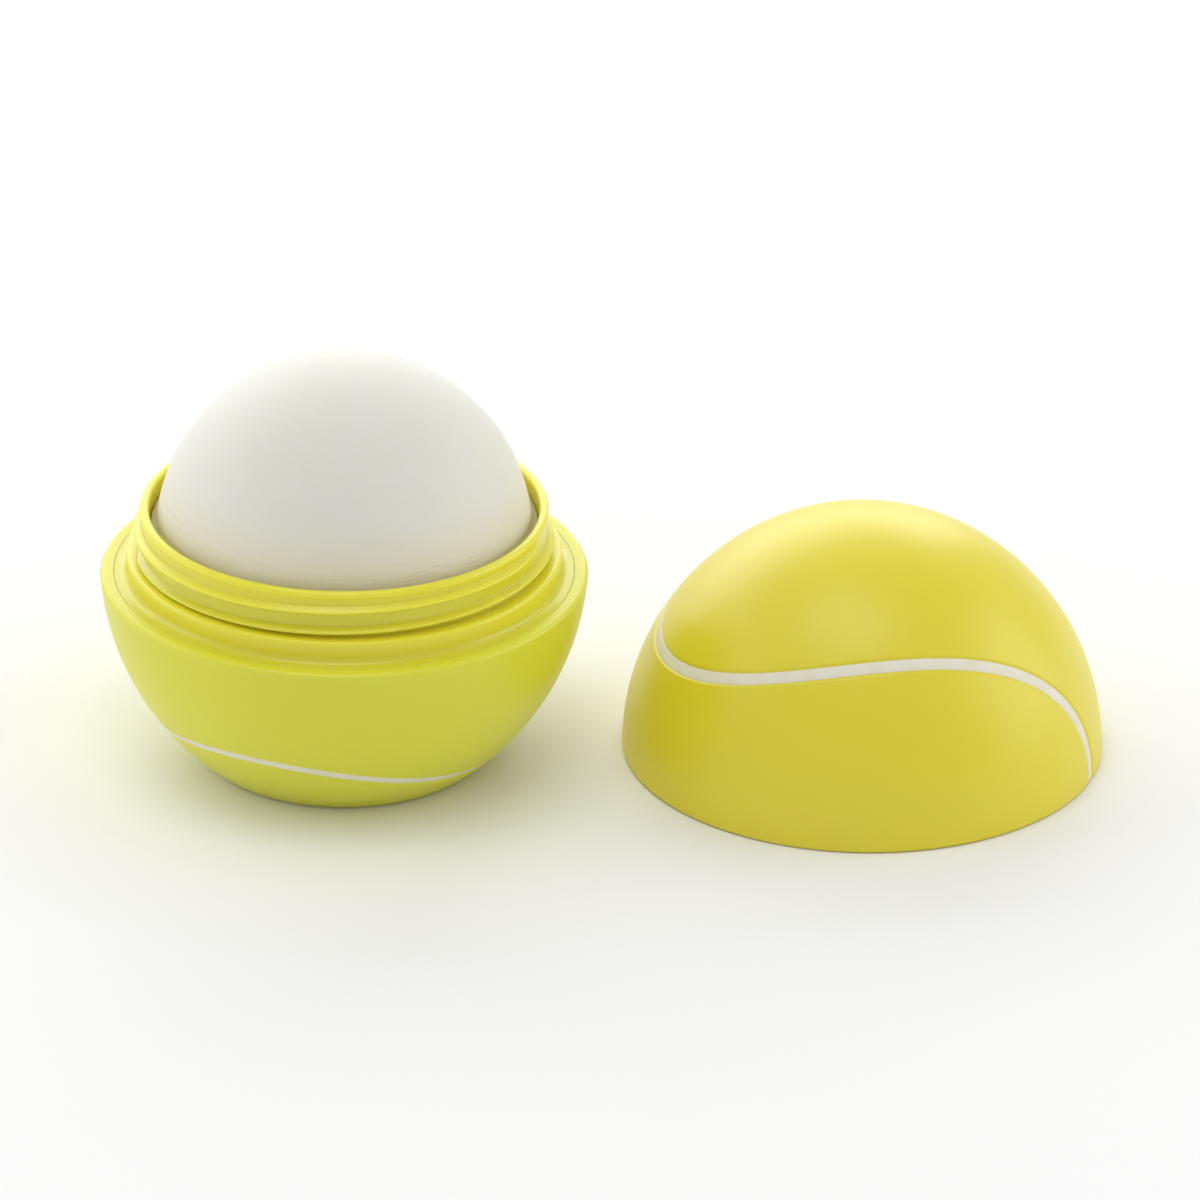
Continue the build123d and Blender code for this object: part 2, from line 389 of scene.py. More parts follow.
@dataclass(frozen=True)
class CastWax:
    """Beeswax and oil balm, cast in a mould: ivory white, soft inside, with faint swirls and smears, and a
    painted warm bounce light and shade near the neck's lip.
    """

    name: str
    colour: str
    oily_colour: str
    # warmer, darker tint near the lip: painted yellow bounce light from the neck and painted shade
    painted_bounce_colour: str = "#e2dcc4"
    roughness: float = 0.56
    swirl: float = 7.0           # size of the cloudy swirls, in mm
    bloom: float = 0.35          # the bloom's 0.05 mm crystals are too fine to show, so drawn coarser
    bloom_height: float = 0.012
    smear_length: float = 4.0    # length of the smears, in mm
    smear_width: float = 0.7
    smear_height: float = 0.16
    lip_height: float = 22.5     # height of the neck's lip, where smears gather, in mm
    smear_reach: float = 5.0     # how far above the lip the smears and the painted bounce reach, in mm
    smear_and_bounce_far: float = 0.12    # share of the smears and of the painted bounce that is left past that

    def material(self) -> bpy.types.Material:
        """Build the shader.

        Returns:
            A new material.
        """
        made, tree, skin, place_in = start_material(self.name)
        swirls = add_node(tree, "ShaderNodeTexNoise", {
            "Vector": place_in, "Scale": 1 / (self.swirl * MM), "Detail": 3.0, "Distortion": 1.2,
        })
        tint = add_node(tree, "ShaderNodeMix", {
            "Factor": swirls.outputs["Fac"], 6: srgb(self.oily_colour), 7: srgb(self.colour),
        }, data_type="RGBA")

        long_scale, short_scale = 1 / (self.smear_length * MM), 1 / (self.smear_width * MM)
        flat = add_node(tree, "ShaderNodeMapping", {
            "Vector": place_in, "Scale": (long_scale, long_scale, short_scale),
        })
        smears = add_node(tree, "ShaderNodeTexNoise", {
            "Vector": flat.outputs["Vector"], "Scale": 1.0, "Detail": 2.0, "Distortion": 0.6,
        })
        height = add_node(tree, "ShaderNodeSeparateXYZ", {"Vector": place_in}).outputs["Z"]
        near_lip = add_node(tree, "ShaderNodeMapRange", {
            "Value": height, 1: self.lip_height * MM, 2: (self.lip_height + self.smear_reach) * MM,
            3: 1.0, 4: self.smear_and_bounce_far,
        }, interpolation_type="SMOOTHSTEP")
        marks = add_node(tree, "ShaderNodeMath", {
            0: smears.outputs["Fac"], 1: near_lip.outputs["Result"],
        }, operation="MULTIPLY")
        # Near the lip the wax colour fades to the warmer, darker tint: painted bounce light from the yellow
        # neck and painted shade.
        painted_bounce = add_node(tree, "ShaderNodeMix", {
            "Factor": near_lip.outputs["Result"], 6: tint.outputs[2], 7: srgb(self.painted_bounce_colour),
        }, data_type="RGBA")
        tree.links.new(painted_bounce.outputs[2], skin.inputs["Base Color"])
        bloom = add_node(tree, "ShaderNodeTexNoise", {
            "Vector": place_in, "Scale": 1 / (self.bloom * MM), "Detail": 3.0, "Roughness": 0.6,
        })
        soft = add_node(tree, "ShaderNodeBump", {
            "Height": bloom.outputs["Fac"], "Strength": 0.4, "Distance": self.bloom_height * MM,
        })
        relief = add_node(tree, "ShaderNodeBump", {
            "Height": marks.outputs["Value"], "Normal": soft.outputs["Normal"],
            "Strength": 0.6, "Distance": self.smear_height * MM,
        })
        tree.links.new(relief.outputs["Normal"], skin.inputs["Normal"])
        gloss = add_node(tree, "ShaderNodeMapRange", {
            "Value": swirls.outputs["Fac"], 1: 0.3, 2: 0.7,
            3: self.roughness - 0.06, 4: self.roughness + 0.08,
        })
        tree.links.new(gloss.outputs["Result"], skin.inputs["Roughness"])
        skin.inputs["IOR"].default_value = 1.44
        skin.inputs["Subsurface Weight"].default_value = 0.5
        skin.inputs["Subsurface Radius"].default_value = (1.0, 0.8, 0.55)
        skin.inputs["Subsurface Scale"].default_value = 2.5 * MM
        return made


@dataclass(frozen=True)
class LabelFilm:
    """Blank polypropylene label film: white, smooth, with a faint orange peel from its glue."""

    name: str
    colour: str
    peel: float = 0.8            # spacing of the orange peel, in mm
    peel_height: float = 0.01

    def material(self) -> bpy.types.Material:
        """Build the shader.

        Returns:
            A new material.
        """
        made, tree, skin, place_in = start_material(self.name)
        peel = add_node(tree, "ShaderNodeTexNoise", {
            "Vector": place_in, "Scale": 1 / (self.peel * MM), "Detail": 2.0,
        })
        relief = add_node(tree, "ShaderNodeBump", {
            "Height": peel.outputs["Fac"], "Strength": 0.5, "Distance": self.peel_height * MM,
        })
        tree.links.new(relief.outputs["Normal"], skin.inputs["Normal"])
        gloss = add_node(tree, "ShaderNodeMapRange", {"Value": peel.outputs["Fac"], 3: 0.28, 4: 0.4})
        tree.links.new(gloss.outputs["Result"], skin.inputs["Roughness"])
        skin.inputs["Base Color"].default_value = srgb(self.colour)
        return made


@dataclass
class Finishes:
    """All the finishes, each made once."""

    lime: bpy.types.Material = field(init=False)
    yellow: bpy.types.Material = field(init=False)
    inner: bpy.types.Material = field(init=False)
    paint: bpy.types.Material = field(init=False)
    balm: bpy.types.Material = field(init=False)
    anchor: bpy.types.Material = field(init=False)
    label: bpy.types.Material = field(init=False)

    def __post_init__(self) -> None:
        """Make the materials."""
        # Outer shells: satin ABS, a little greener on the base than on the cap.
        self.lime = MouldedPlastic("satin_abs_lime", "#dedd3a", "#d9d834").material()
        self.yellow = MouldedPlastic("satin_abs_yellow", "#e6d833", "#e1d32d").material()
        # Inner mouldings: thinner ABS with a glossier skin, which glows where it is shaded.
        self.inner = MouldedPlastic(
            "glossy_abs_inner", "#e6df3e", "#e1d936", roughness=0.27, glow=0.7, depth=1.8
        ).material()
        self.paint = PadPaint("pad_print_white", "#eae6d6", "#e4dfc8").material()
        self.balm = CastWax("cast_balm_wax", "#e3e3dd", "#dfddd3").material()
        # Anchor, sealed in the balm: uncoloured plastic, milky because it lets light in.
        self.anchor = MouldedPlastic("natural_polypropylene", "#ecebe6", "#e6e5df", glow=0.3).material()
        self.label = LabelFilm("blank_label_film", "#f1f1ee").material()


def finish(
    piece: bpy.types.Object, material: bpy.types.Material, body: Body, replaces: str | None = None
) -> None:
    """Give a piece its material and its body.

    Args:
        piece: The piece, or a CAD node that keeps its mesh.
        material: Its material.
        body: The body it rides on.
        replaces: CAD node that it stands for, or None where the piece is a CAD node itself.
    """
    piece.data.materials.clear()
    piece.data.materials.append(material)
    if replaces:
        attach(piece, body.value)
        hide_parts(replaces)
    LOG.info("%s: %d faces, rides on %s", piece.name, len(piece.data.polygons), body.value)


# ---------------------------------------------------------------- shared shapes


@dataclass(frozen=True)
class Meridian:
    """Outline of one half of the ball: an arc whose centre lies past the axis."""

    rim: float
    inset: float
    parting: float
    rise: float
    centre_x: float = 0.0

    @property
    def radius(self) -> float:
        """Radius of the arc itself."""
        return math.hypot(self.rim + self.inset, self.rise)

    @property
    def centre(self) -> tuple[float, float]:
        """Centre of the arc as (radius, height)."""
        return (-self.inset, self.parting + self.rise)

    def radius_at(self, height: float, depth: float = 0.0) -> float:
        """Radius of the half at a height.

        Args:
            height: Height in the frame, in mm.
            depth: Depth under the surface, in mm.

        Returns:
            Radius from the axis, in mm.
        """
        return math.sqrt((self.radius - depth) ** 2 - (height - self.centre[1]) ** 2) - self.inset

    def angle_at(self, height: float, depth: float = 0.0) -> float:
        """Angle along the arc at a height, in degrees above the outward direction."""
        return math.degrees(math.asin((height - self.centre[1]) / (self.radius - depth)))

    def apex_angle(self, depth: float = 0.0) -> float:
        """Angle along the arc where it meets the axis, in degrees."""
        return math.degrees(math.acos(self.inset / (self.radius - depth)))

    def along(self, depth: float, start: float, end: float, step: float) -> Outline:
        """Points along the arc between two angles, about a step apart."""
        length = abs(math.radians(end - start)) * (self.radius - depth)
        return arc(self.centre, self.radius - depth, start, end, max(2, round(length / step)))

    def on_ray(self, directions: np.ndarray, depth: np.ndarray | float) -> np.ndarray:
        """Points under the surface on rays from the centre of the parting plane.

        Args:
            directions: Unit vectors, one per row.
            depth: Depth under the surface, in mm.

        Returns:
            Points in mm, one per row.
        """
        level = np.hypot(directions[:, 0], directions[:, 1])
        away = level * self.inset - directions[:, 2] * self.rise
        room = (self.radius - depth) ** 2 - self.inset**2 - self.rise**2
        reach = np.sqrt(away**2 + room) - away
        return directions * reach[:, None] + np.array([self.centre_x, 0.0, self.parting])


@dataclass(frozen=True)
class Seam:
    """The ball's seam on one half: a groove with a painted line in its floor."""

    meridian: Meridian
    turn: float
    start: float
    waist: float = 0.243         # 0 is a plain circle, larger values pinch the two lobes
    depth: float = 0.3
    line: float = 0.86           # width of the painted line that shows, in mm
    lip: float = 0.6             # width of the soft lip beside the line, in mm
    lip_overlap: float = 0.4     # share of the lip that lies under the line's edge
    sunk: float = 0.2            # depth of the line's face under the shell's skin, in mm
    tuck: float = 0.04           # how far the line's edge goes into the groove's side, in mm
    crown: float = 0.06          # how much lower the line's edges lie than its middle, in mm
    ink: float = 0.12            # thickness of the line, in mm
    sag: float = 0.006           # how far new points between old ones may lie under the arc, in mm
    elsewhere: float = 99.0      # distance given to points that are not on the outer skin
    strips_along: int = 420
    strips_across: int = 12
    samples: int = 4000
    overrun: float = 6.0         # degrees of the curve past the parting line
    reaches: tuple[float, ...] = (1.45, 1.1, 0.88)   # distances within which the shell is subdivided

    def directions(self, angles: np.ndarray) -> np.ndarray:
        """Unit vectors along the closed seam.

        Args:
            angles: Parameters along the curve, in radians.

        Returns:
            One row per angle.
        """
        wide, narrow = 1 - self.waist, self.waist
        first = wide * np.cos(angles) + narrow * np.cos(3 * angles)
        second = wide * np.sin(angles) - narrow * np.sin(3 * angles)
        side = 2 * math.sqrt(wide * narrow) * np.sin(2 * angles)
        front, up = (first + second) / math.sqrt(2), (first - second) / math.sqrt(2)
        cosine, sine = math.cos(math.radians(self.turn)), math.sin(math.radians(self.turn))
        rows = np.stack([side * cosine + front * sine, side * sine - front * cosine, up], axis=1)
        return rows / np.linalg.norm(rows, axis=1)[:, None]

    def angles(self, count: int) -> np.ndarray:
        """Evenly spaced parameters over this half, with the overrun at both ends."""
        first = math.radians(self.start - self.overrun)
        return np.linspace(first, first + math.pi + 2 * math.radians(self.overrun), count)

    def across(self, angles: np.ndarray) -> np.ndarray:
        """Unit vectors along the surface, square to the seam."""
        step = 1e-4
        along = self.directions(angles + step) - self.directions(angles - step)
        rows = np.cross(along, self.directions(angles))
        return rows / np.linalg.norm(rows, axis=1)[:, None]

    def distances(self, points: np.ndarray) -> np.ndarray:
        """Distance along the surface from the seam.

        Args:
            points: Points near the surface, in mm.

        Returns:
            Distance of each, in mm.
        """
        tree = KDTree(self.samples)
        for index, row in enumerate(self.directions(self.angles(self.samples))):
            tree.insert(row, index)
        tree.balance()
        rays = points - np.array([self.meridian.centre_x, 0.0, self.meridian.parting])
        rays /= np.linalg.norm(rays, axis=1)[:, None] + 1e-12
        return np.array([tree.find(ray)[2] for ray in rays]) * self.meridian.rim

    def near_skin(self, points: np.ndarray) -> np.ndarray:
        """Distance from the seam for points of the outer skin, and a large number elsewhere."""
        skin = self.meridian.radius - self.skin_radius(points) < 2 * self.depth
        gaps = np.full(len(points), self.elsewhere)
        gaps[skin] = self.distances(points[skin])
        return gaps

    def skin_radius(self, points: np.ndarray) -> np.ndarray:
        """Distance of each point from the circle that the outline's centre runs on."""
        level = np.hypot(points[:, 0] - self.meridian.centre_x, points[:, 1]) + self.meridian.inset
        return np.hypot(level, points[:, 2] - self.meridian.centre[1])

    def press_groove(self, piece: bpy.types.Object) -> None:
        """Subdivide a shell beside the seam and press the groove into it.

        Args:
            piece: Shell whose outer skin follows the meridian.
        """
        refine(piece, self.near_skin, self.reaches)
        points = coordinates(piece)
        radius = self.skin_radius(points)
        sag = (radius > self.meridian.radius - self.sag) & (radius < self.meridian.radius)
        self.scale_from_arc(points, np.where(sag, self.meridian.radius / radius, 1.0))
        gaps = self.near_skin(points)
        floor = self.line / 2 - self.lip * self.lip_overlap
        drop = self.depth * (1 - smooth_step((gaps - floor) / self.lip))
        radius = self.skin_radius(points)
        limit = self.meridian.radius - drop
        pressed = (gaps < self.elsewhere) & (radius > limit)
        self.scale_from_arc(points, np.where(pressed, limit / radius, 1.0))
        place(piece, points)

    def scale_from_arc(self, points: np.ndarray, scale: np.ndarray) -> None:
        """Move points towards or away from the circle that the outline's centre runs on.

        Args:
            points: Points in mm, changed in place.
            scale: New distance of each as a share of the old one.
        """
        level = np.hypot(points[:, 0] - self.meridian.centre_x, points[:, 1])
        moved = (level + self.meridian.inset) * scale - self.meridian.inset
        ratio = np.where(level > 1e-9, moved / np.maximum(level, 1e-9), 1.0)
        points[:, 0] = self.meridian.centre_x + (points[:, 0] - self.meridian.centre_x) * ratio
        points[:, 1] *= ratio
        points[:, 2] = self.meridian.centre[1] + (points[:, 2] - self.meridian.centre[1]) * scale

    def paint_line(self, name: str, low: float, high: float) -> bpy.types.Object:
        """Model the painted line: a strip that lies in the groove, a little crowned.

        Args:
            name: Name of the new piece.
            low: Height where the strip is cut off below, in mm.
            high: Height where it is cut off above, in mm.

        Returns:
            The new object.
        """
        deselect()
        bpy.ops.mesh.primitive_grid_add(
            x_subdivisions=self.strips_along, y_subdivisions=self.strips_across, size=2.0
        )
        piece = bpy.context.object
        piece.name = piece.data.name = name
        grid = coordinates(piece) * MM
        first = self.angles(2)
        angles = first[0] + (first[1] - first[0]) * (grid[:, 0] + 1) / 2
        side = grid[:, 1]
        centre = self.directions(angles)
        half_width = self.line / 2 + self.tuck
        beside = centre + self.across(angles) * (side * half_width / self.meridian.rim)[:, None]
        beside /= np.linalg.norm(beside, axis=1)[:, None]
        droop = self.crown * np.abs(side) ** 4
        place(piece, self.meridian.on_ray(beside, self.sunk + droop))
        wall = piece.modifiers.new("ink", "SOLIDIFY")
        wall.thickness = self.ink * MM
        wall.offset = -1.0
        activate(piece)
        bpy.ops.object.modifier_apply(modifier=wall.name)
        bpy.ops.object.mode_set(mode="EDIT")
        bpy.ops.mesh.select_all(action="SELECT")
        bpy.ops.mesh.normals_make_consistent(inside=False)
        for height, upwards in ((low, -1), (high, 1)):
            bpy.ops.mesh.select_all(action="SELECT")
            bpy.ops.mesh.bisect(
                plane_co=(0, 0, height * MM), plane_no=(0, 0, upwards), use_fill=True, clear_outer=True
            )
        bpy.ops.object.mode_set(mode="OBJECT")
        shade(piece)
        return piece


@dataclass(frozen=True)
class Thread:
    """Right-hand screw thread, pressed into a lathed wall as a rounded ridge that fades at its ends."""

    wall: float
    depth: float
    first_height: float
    centre_x: float = 0.0
    pitch: float = 1.85
    turns: float = 1.5
    start_angle: float = 168.4
    lean: float = 0.2            # how far the crest lies below the middle of the ridge's foot
    upper_reach: float = 0.5     # from the crest up to where the upper flank meets the wall
    lower_reach: float = 0.38
    fade: float = 0.07           # turns over which each end fades

    def heights(self, points: np.ndarray) -> np.ndarray:
        """How far the ridge stands out of the wall beside each point.

        Args:
            points: Points of the wall, in mm.

        Returns:
            Share of the thread's depth, from 0 to 1.
        """
        turned = np.degrees(np.arctan2(points[:, 1], points[:, 0] - self.centre_x)) - self.start_angle
        first = np.mod(turned, 360) / 360
        best = np.zeros(len(points))
        for lap in range(math.ceil(self.turns) + 1):
            progress = first + lap
            off = points[:, 2] - self.first_height + self.lean - progress * self.pitch
            share = np.minimum(np.maximum(off / self.upper_reach, -off / self.lower_reach), 1.0)
            ridge = 0.5 + 0.5 * np.cos(math.pi * share)
            ends = smooth_step(progress / self.fade) * smooth_step((self.turns - progress) / self.fade)
            best = np.maximum(best, ridge * ends)
        return best

    def press(self, piece: bpy.types.Object, low: float, high: float) -> None:
        """Raise the ridge on a lathed wall.

        Args:
            piece: Piece that holds the wall.
            low: Lowest height of the wall, in mm.
            high: Highest height of the wall, in mm.
        """
        points = coordinates(piece)
        level = np.hypot(points[:, 0] - self.centre_x, points[:, 1])
        wall = (np.abs(level - self.wall) < 0.01) & (points[:, 2] > low - 0.01) & (points[:, 2] < high + 0.01)
        lift = np.where(wall, self.heights(points) * self.depth, 0.0)
        ratio = (level + lift) / np.maximum(level, 1e-9)
        points[:, 0] = self.centre_x + (points[:, 0] - self.centre_x) * ratio
        points[:, 1] *= ratio
        place(piece, points)


# ---------------------------------------------------------------- the base


@dataclass
class Base:
    """Lower half: shell, label, seam line, threaded cup, anchor and balm."""

    rim: float = 20.5
    arc_inset: float = 2.36
    arc_rise: float = 1.35
    wall: float = 2.0
    floor: float = 1.6
    rim_land: float = 1.15
    rim_round: float = 0.45
    foot_round: float = 1.0
    label_recess: float = 8.5
    label_thickness: float = 0.15
    edge: float = 0.05           # the break that moulding leaves on a sharp edge, in mm
    joint_gap: float = 0.06
    joint_crack: float = 0.012   # the gap as pressed together by the welded joint, in mm
    flange_thickness: float = 1.2
    flange_width: float = 1.0
    flange_round: float = 0.05
    collar_height: float = 1.9
    collar_step: float = 0.65
    collar_round: float = 0.3
    collar_fillet: float = 0.55
    neck_height: float = 5.85
    neck_wall: float = 0.7
    lip_round: float = 0.3
    bead_radius: float = 0.36    # the rounded bead under the lip
    bead_stand: float = 0.1      # how far it stands out of the thread's root
    bead_drop: float = 0.62      # from the lip down to where the threaded wall ends
    thread_depth: float = 0.6
    thread_start: float = 2.1
    well_step: float = 0.75
    well_depth: float = 6.0
    shoulder_depth: float = 1.0
    cup_wall: float = 0.9
    cup_foot_round: float = 0.3
    cup_clearance: float = 0.6
    balm_gap: float = 0.4
    dome_centre: float = 2.75
    skirt_drop: float = 1.3      # from the lip down to the thin skirt of wax that wets the bore, in mm
    skirt_gap: float = 0.06      # from the skirt out to the bore, so that the two don't share a face
    wear_size: float = 7.0       # size of the balm's shallow dents, in mm
    wear_depth: float = 0.12
    seam_turn: float = 62.9
    seam_start: float = 45.0
    seam_line_width: float = 0.7
    steps: int = 260
    row: float = 0.5             # spacing of the outer skin's rows, in mm
    hidden_row: float = 1.2
    thread_row: float = 0.055    # fine enough for the thread's ridge to be pressed from it
    parting: float = field(init=False)
    meridian: Meridian = field(init=False)

    def __post_init__(self) -> None:
        """Take the parting line from the frame."""
        self.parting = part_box("base_shell")[1].z / MM
        self.meridian = Meridian(self.rim, self.arc_inset, self.parting, self.arc_rise)

    @property
    def seam(self) -> Seam:
        """The ball's seam on the lower half."""
        return Seam(self.meridian, self.seam_turn, self.seam_start, line=self.seam_line_width)

    @property
    def ledge(self) -> float:
        """Height of the ledge that the flange sits on."""
        return self.parting - self.flange_thickness

    @property
    def collar(self) -> float:
        """Radius of the collar."""
        return self.rim - self.rim_land - self.joint_gap - self.flange_width

    @property
    def root(self) -> float:
        """Radius of the neck at the thread's root."""
        return self.collar - self.collar_step - self.thread_depth

    @property
    def bore(self) -> float:
        """Radius of the neck's bore."""
        return self.root - self.neck_wall

    def shell(self) -> bpy.types.Object:
        """Model the lower shell with its groove.

        Offsets of a few tenths of a millimetre only place rows beside an edge, which keeps it crisp.

        Returns:
            The new piece.
        """
        half, edge, recess = self.meridian, self.edge, self.label_recess
        foot_turn = 90 + half.angle_at(0.0)
        foot_tangent = self.foot_round * math.tan(math.radians(foot_turn / 2))
        foot_edge = half.radius_at(0.0) - foot_tangent
        rim_centre = (self.rim - self.rim_round, self.parting - self.rim_round)
        land = self.rim - self.rim_land
        outline = [(0.0, self.label_thickness), (recess * 0.5, self.label_thickness)]
        outline += [(recess, self.label_thickness), (recess, edge), (recess + edge, 0.0)]
        outline += run((recess + 0.3, 0.0), (foot_edge, 0.0), 0.7)
        outline += arc((foot_edge, self.foot_round), self.foot_round, -90, -90 + foot_turn, 6)
        low = half.angle_at(outline[-1][1]) + 0.3
        high = half.angle_at(rim_centre[1] - 0.1)
        outline += half.along(0.0, low, high, self.row)
        outline += arc(rim_centre, self.rim_round, 6, 90, 7)
        outline += [(land + 0.45, self.parting), (land + 0.07, self.parting)]
        outline += arc((land + edge, self.parting - edge), edge, 90, 180, 3)
        outline += [(land, self.ledge + 0.6), (land, self.ledge + edge), (land - edge, self.ledge)]
        outline += [(half.radius_at(self.ledge, self.wall), self.ledge)]
        top, bottom = half.angle_at(self.ledge, self.wall), half.angle_at(self.floor, self.wall)
        outline += half.along(self.wall, top, bottom, self.hidden_row)
        outline += [(half.radius_at(self.floor, self.wall) * 0.5, self.floor), (0.0, self.floor)]
        piece = lathe("lower_shell", outline, self.steps)
        self.seam.press_groove(piece)
        shade(piece)
        return piece

    def seam_line(self) -> bpy.types.Object:
        """Model the painted line of the lower half."""
        return self.seam.paint_line("lower_seam_line", 0.2, self.parting - 0.3)

    def cup(self) -> bpy.types.Object:
        """Model the cup with its flange, collar, threaded neck and well.

        Returns:
            The new piece.
        """
        top = self.parting
        lip = top + self.neck_height
        collar_top = top + self.collar_height
        well_floor = top - self.well_depth
        foot = well_floor - self.cup_wall
        foot_radius = self.meridian.radius_at(foot, self.wall) - self.cup_clearance
        flange = self.rim - self.rim_land - self.joint_crack
        shoulder = top - self.shoulder_depth
        well = self.bore - self.well_step
        soft, round_ = self.flange_round, self.collar_round
        fillet, blunt = self.collar_fillet, self.cup_foot_round
        outline = [(0.0, foot), (foot_radius * 0.5, foot), (foot_radius - blunt, foot)]
        outline += arc((foot_radius - blunt, foot + blunt), blunt, -90, 0, 3)
        outline += [(self.bore + self.cup_wall, self.ledge)]
        outline += [(flange - self.edge, self.ledge), (flange, self.ledge + self.edge)]
        outline += arc((flange - soft, top - soft), soft, 0, 90, 4)
        outline += run((flange - soft - 0.08, top), (self.collar + fillet, top), 0.2)
        outline += arc((self.collar + fillet, top + fillet), fillet, 270, 180, 6)
        outline += run((self.collar, top + fillet + 0.1), (self.collar, collar_top - round_ - 0.1), 0.3)
        outline += arc((self.collar - round_, collar_top - round_), round_, 0, 90, 6)
        outline += run((self.collar - round_ - 0.1, collar_top), (self.root + 0.15, collar_top), 0.2)
        outline += run((self.root, collar_top + 0.02), (self.root, lip - self.bead_drop), self.thread_row)
        bead_centre = (self.root + self.bead_stand - self.bead_radius, lip - self.bead_radius)
        outline += arc(bead_centre, self.bead_radius, -20, 90, 12)
        outline += arc((self.bore + self.lip_round, lip - self.lip_round), self.lip_round, 90, 180, 6)
        outline += run((self.bore, lip - self.lip_round - 0.2), (self.bore, shoulder), 0.8)
        outline += [(well, shoulder - 0.01), (foot_radius - self.cup_wall, well_floor), (0.0, well_floor)]
        piece = lathe("threaded_neck_cup", outline, self.steps)
        ridge = Thread(self.root, self.thread_depth, top + self.thread_start)
        ridge.press(piece, collar_top, lip - self.bead_drop)
        shade(piece, 50)
        return piece

    def balm(self) -> bpy.types.Object:
        """Model the balm: a dome with the slight unevenness of a hand-worn cast, over its drum and foot.

        Returns:
            The new piece.
        """
        radius = self.bore - self.balm_gap
        centre = self.parting + self.dome_centre
        shoulder = self.parting - self.shoulder_depth
        well_floor = self.parting - self.well_depth
        cup_foot = self.meridian.radius_at(well_floor - self.cup_wall, self.wall) - self.cup_clearance
        foot_radius = cup_foot - self.cup_wall
        bottom = well_floor + 0.05
        outline = [(0.0, bottom), (foot_radius * 0.5, bottom), (foot_radius - 0.4, bottom)]
        outline += [(foot_radius - 0.1, well_floor + 0.3), (self.bore - self.well_step - 0.05, shoulder)]
        skirt = self.bore - self.skirt_gap
        brim = self.parting + self.neck_height - self.skirt_drop
        outline += [(skirt - 0.3, shoulder + 0.02), (skirt, shoulder + 0.3)]
        outline += run((skirt, shoulder + 0.8), (skirt, brim - 0.25), 0.5)
        meets = math.degrees(math.asin((brim + 0.1 - centre) / radius))
        outline += [(skirt - 0.04, brim - 0.12), (skirt - 0.14, brim - 0.03)]
        outline += arc((0.0, centre), radius, meets, 90, 64)
        piece = lathe("balm_dome", outline, 200)
        wear = bpy.data.textures.new("worn_wax", "CLOUDS")
        wear.noise_scale = self.wear_size * MM
        wear.noise_depth = 1
        dents = piece.modifiers.new("wear", "DISPLACE")
        dents.texture = wear
        dents.texture_coords = "LOCAL"
        dents.strength = self.wear_depth * MM
        dents.mid_level = 1.0
        activate(piece)
        bpy.ops.object.modifier_apply(modifier=dents.name)
        shade(piece, 60)
        return piece

    def build(self, finishes: Finishes) -> None:
        """Build and dress every piece of the base.

        Args:
            finishes: Materials for the pieces.
        """
        finish(self.shell(), finishes.lime, Body.BASE, "base_shell")
        finish(self.seam_line(), finishes.paint, Body.BASE, "base_seam_line")
        finish(self.cup(), finishes.inner, Body.BASE, "threaded_cup")
        finish(self.balm(), finishes.balm, Body.BASE, "balm")
        finish(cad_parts["balm_anchor"], finishes.anchor, Body.BASE)
        finish(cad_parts["base_label"], finishes.label, Body.BASE)


# ---------------------------------------------------------------- the cap


